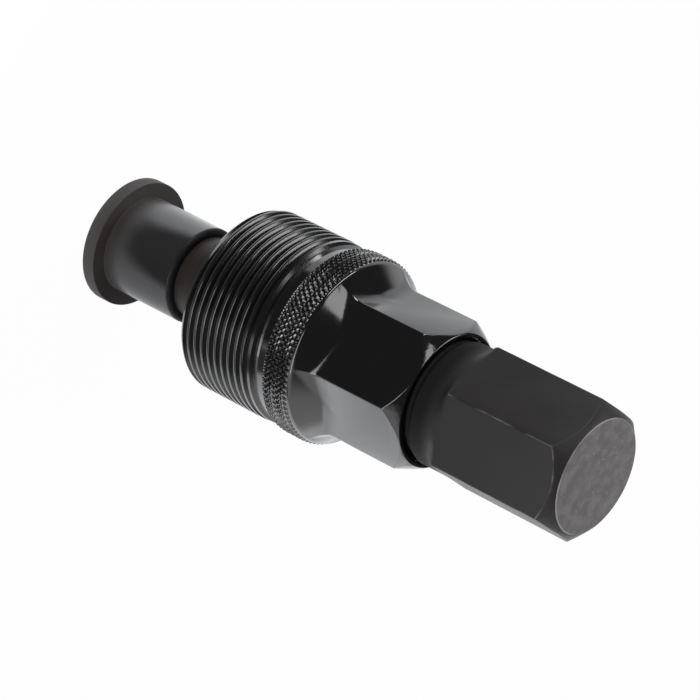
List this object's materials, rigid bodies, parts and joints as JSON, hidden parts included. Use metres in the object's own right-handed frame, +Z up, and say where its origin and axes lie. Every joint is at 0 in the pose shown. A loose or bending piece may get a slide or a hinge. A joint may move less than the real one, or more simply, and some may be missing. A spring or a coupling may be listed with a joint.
{
  "type": "crank puller",
  "caption": "Screw-type bicycle crank puller: threaded sleeve with knurled ring and hexagon, a hexagon-headed spindle through it, and a swivelling flanged push foot on the spindle's nose.",
  "frame": {"origin": "centre of the push foot's flat face, which the tool stands on", "axes": "+Z up along the screw's axis, from the push foot to the spindle's hexagon; +X through a corner of the sleeve's hexagon"},
  "size_m": [0.022, 0.022, 0.0686],
  "materials": {
    "sleeve_black": "glossy black on steel",
    "spindle_dark": "matte dark oxide",
    "foot_satin": "satin dark grey",
    "ring_rubber": "matte"
  },
  "bodies": {
    "sleeve": {"sleeve": "sleeve_black"},
    "ring": {"retaining_ring": "ring_rubber"},
    "spindle": {"spindle": "spindle_dark"},
    "foot": {"push_foot": "foot_satin"}
  },
  "joints": [
    {"name": "screw_slide", "type": "slide", "parent": "sleeve", "child": "ring", "axis": [0, 0, 1], "range_m": [-0.0005, 0.0165]},
    {"name": "spindle_turn", "type": "hinge", "parent": "ring", "child": "spindle", "pos_m": [0, 0, 0.04], "axis": [0, 0, 1], "range_deg": [-120.2, 3960.4]},
    {"name": "foot_swivel", "type": "hinge", "parent": "spindle", "child": "foot", "pos_m": [0, 0, 0.006], "axis": [0, 0, 1], "continuous": true}
  ],
  "couplings": [
    {"joint": "spindle_turn", "follows": "screw_slide", "rad_per_m": 4188.8}
  ]
}
